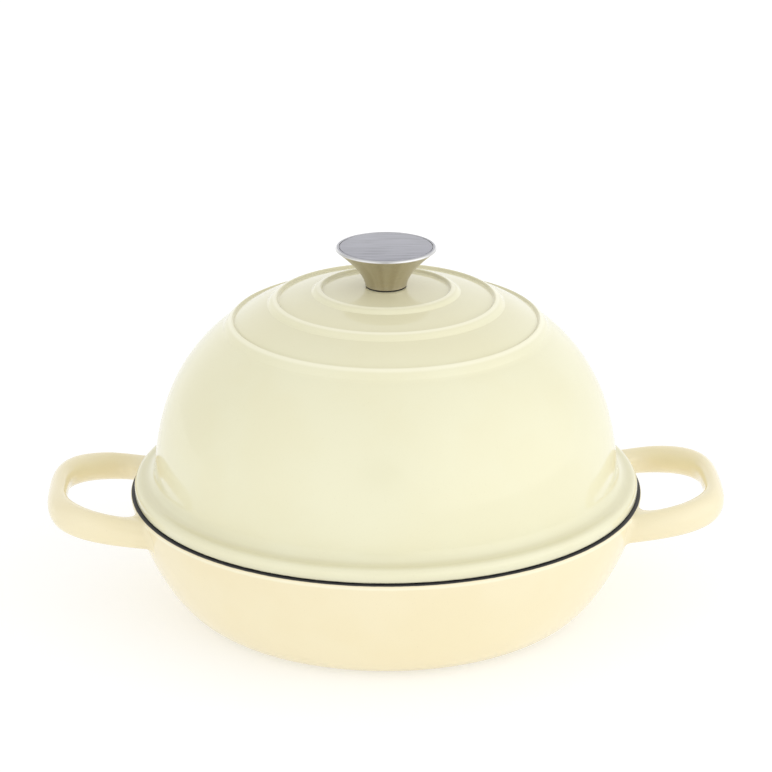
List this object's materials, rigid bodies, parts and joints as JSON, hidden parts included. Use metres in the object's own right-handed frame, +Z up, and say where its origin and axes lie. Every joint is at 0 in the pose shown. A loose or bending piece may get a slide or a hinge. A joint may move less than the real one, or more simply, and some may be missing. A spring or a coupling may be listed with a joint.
{
  "type": "bread oven",
  "caption": "Shallow enamelled cast iron pan with cast loop handles, under a tall ringed dome lid with a flared steel knob; the lid lifts off to put dough in and traps steam while it bakes.",
  "frame": {"origin": "middle of the pan's foot ring, on the surface that the oven stands on", "axes": "+Z up through the lid's knob, +X through the right handle of the picture, +Y away from the picture's camera"},
  "size_m": [0.344, 0.26, 0.1877],
  "materials": {
    "pan_enamel": "glossy cream enamel on cast iron, with a matt black rim band",
    "lid_enamel": "glossy cream enamel on cast iron",
    "gasket_rubber": "matt black silicone",
    "knob_steel": "satin stainless steel with a polished rim",
    "cap_steel": "brushed stainless steel",
    "fixing_steel": "zinc plated steel"
  },
  "bodies": {
    "pan": {"pan": "pan_enamel"},
    "lid": {"lid": "lid_enamel", "knob_gasket": "gasket_rubber", "knob_body": "knob_steel", "knob_insert": "fixing_steel", "knob_cap": "cap_steel", "lid_washer": "fixing_steel", "lock_washer": "fixing_steel", "knob_screw": "fixing_steel"}
  },
  "joints": [
    {"name": "lid_lift", "type": "slide", "parent": "pan", "child": "lid", "axis": [0, 0, 1], "range_m": [0, 0.074]}
  ]
}
